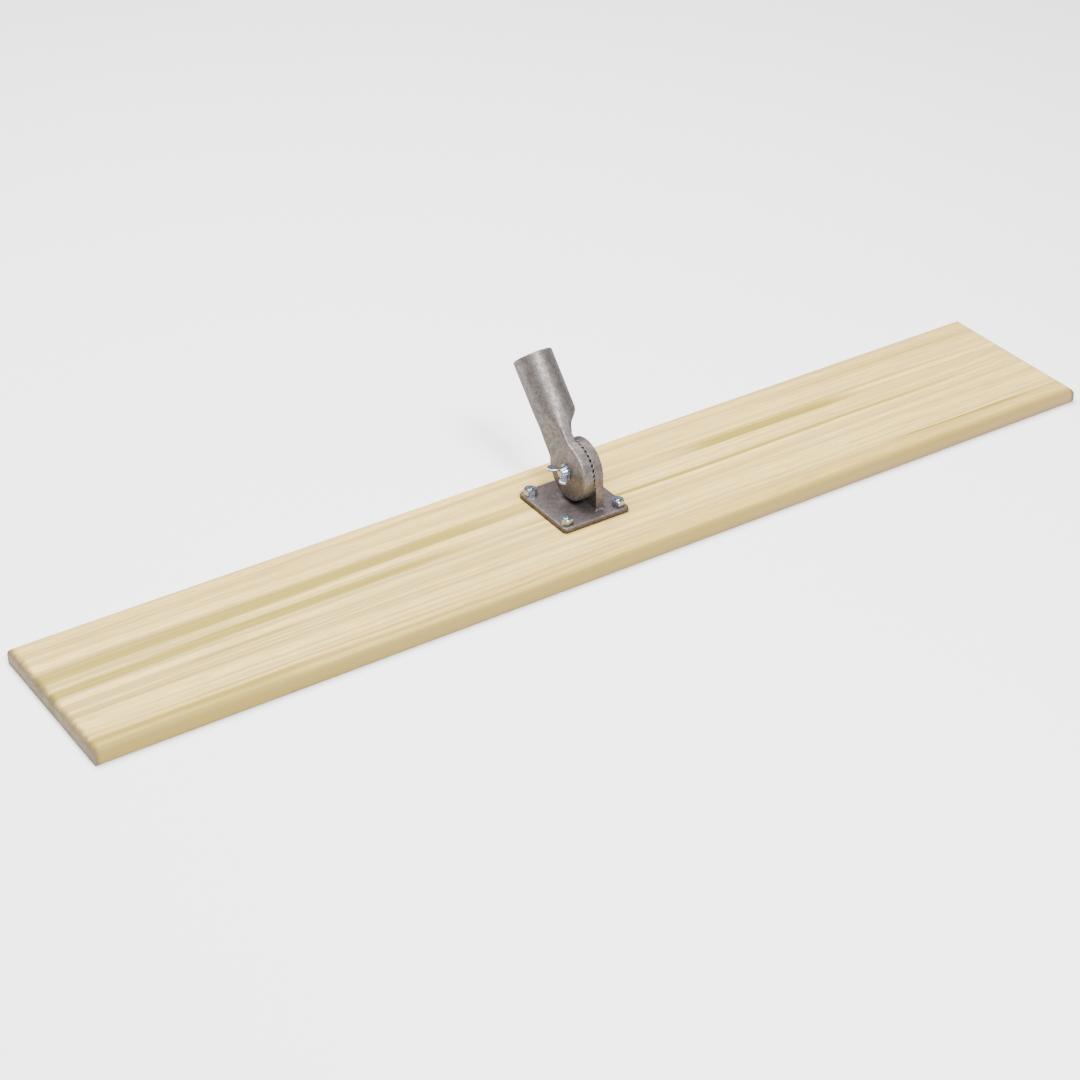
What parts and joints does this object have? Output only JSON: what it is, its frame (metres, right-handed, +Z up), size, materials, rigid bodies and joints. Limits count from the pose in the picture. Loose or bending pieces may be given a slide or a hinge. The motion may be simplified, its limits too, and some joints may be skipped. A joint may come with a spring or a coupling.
{
  "type": "bull float",
  "caption": "Long glued-up wooden blade with rounded edges, and a cast bracket whose round handle socket tilts on a toothed pivot clamped by a wing nut.",
  "frame": {"origin": "middle of the blade's flat underside", "axes": "+X along the blade, +Y across it towards the side the handle socket leans to at rest, +Z up, away from the work"},
  "size_m": [1.2192, 0.2121, 0.1733],
  "materials": {
    "pale_wood": "sanded, unfinished",
    "cast_metal": "as cast",
    "zinc_plate": "bright zinc plated"
  },
  "bodies": {
    "float": {"blade_stave_1": "pale_wood", "blade_stave_2": "pale_wood", "blade_stave_3": "pale_wood", "blade_stave_4": "pale_wood", "blade_stave_5": "pale_wood", "bracket_base": "cast_metal", "blade_screws": "zinc_plate", "blade_nuts": "zinc_plate", "pivot_bolt": "zinc_plate"},
    "socket": {"handle_socket": "cast_metal"},
    "washer": {"pivot_washer": "zinc_plate"},
    "wing_nut": {"wing_nut": "zinc_plate"}
  },
  "joints": [
    {"name": "socket_tilt", "type": "hinge", "parent": "float", "child": "socket", "pos_m": [0, 0.009, 0.0626], "axis": [1, 0, 0], "range_deg": [-40, 125]},
    {"name": "washer_travel", "type": "slide", "parent": "float", "child": "washer", "axis": [-1, 0, 0], "range_m": [0, 0.0028]},
    {"name": "wing_nut_turn", "type": "hinge", "parent": "washer", "child": "wing_nut", "pos_m": [-0.0107, 0.009, 0.0626], "axis": [-1, 0, 0], "range_deg": [0, 720]}
  ],
  "couplings": [
    {"joint": "wing_nut_turn", "follows": "washer_travel", "rad_per_m": 4452.9}
  ]
}
